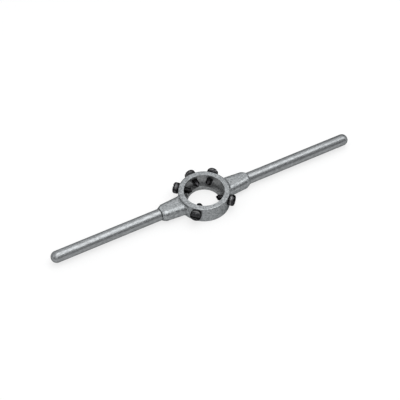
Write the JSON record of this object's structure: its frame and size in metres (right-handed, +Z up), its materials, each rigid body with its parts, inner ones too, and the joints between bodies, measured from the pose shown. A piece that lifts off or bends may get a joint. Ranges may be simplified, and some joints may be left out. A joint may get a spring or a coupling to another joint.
{
  "type": "die stock handle",
  "caption": "Cast ring holder for round threading dies with two bar handles and slotted screws that centre, spread and clamp the die.",
  "frame": {"origin": "on the axis of the die seat, at the ring's bottom face", "axes": "+X along the two handles, +Z up along the axis of the die seat towards its open mouth, +Y towards the spreading screw"},
  "size_m": [0.315, 0.0545, 0.0168],
  "materials": {
    "casting": "fine-grained cast surface, silver plated",
    "bar_steel": "satin plated steel bar",
    "black_steel": "black oxide"
  },
  "bodies": {
    "stock": {"holder": "casting", "handle_left": "bar_steel", "handle_right": "bar_steel"},
    "spreading_screw": {"spreading_screw": "black_steel"},
    "closing_screw_left": {"closing_screw_left": "black_steel"},
    "closing_screw_right": {"closing_screw_right": "black_steel"},
    "clamping_screw_left": {"clamping_screw_left": "black_steel"},
    "clamping_screw_right": {"clamping_screw_right": "black_steel"}
  },
  "joints": [
    {"name": "spreading_screw_travel", "type": "slide", "parent": "stock", "child": "spreading_screw", "axis": [0, 1, 0], "range_m": [-0.0002, 0.0077]},
    {"name": "closing_screw_left_travel", "type": "slide", "parent": "stock", "child": "closing_screw_left", "axis": [-0.7071, 0.7071, 0], "range_m": [-0.0003, 0.0076]},
    {"name": "closing_screw_right_travel", "type": "slide", "parent": "stock", "child": "closing_screw_right", "axis": [0.7071, 0.7071, 0], "range_m": [-0.0007, 0.0072]},
    {"name": "clamping_screw_left_travel", "type": "slide", "parent": "stock", "child": "clamping_screw_left", "axis": [-0.7071, -0.7071, 0], "range_m": [-0.0006, 0.0073]},
    {"name": "clamping_screw_right_travel", "type": "slide", "parent": "stock", "child": "clamping_screw_right", "axis": [0.7071, -0.7071, 0], "range_m": [-0.0001, 0.0078]}
  ]
}
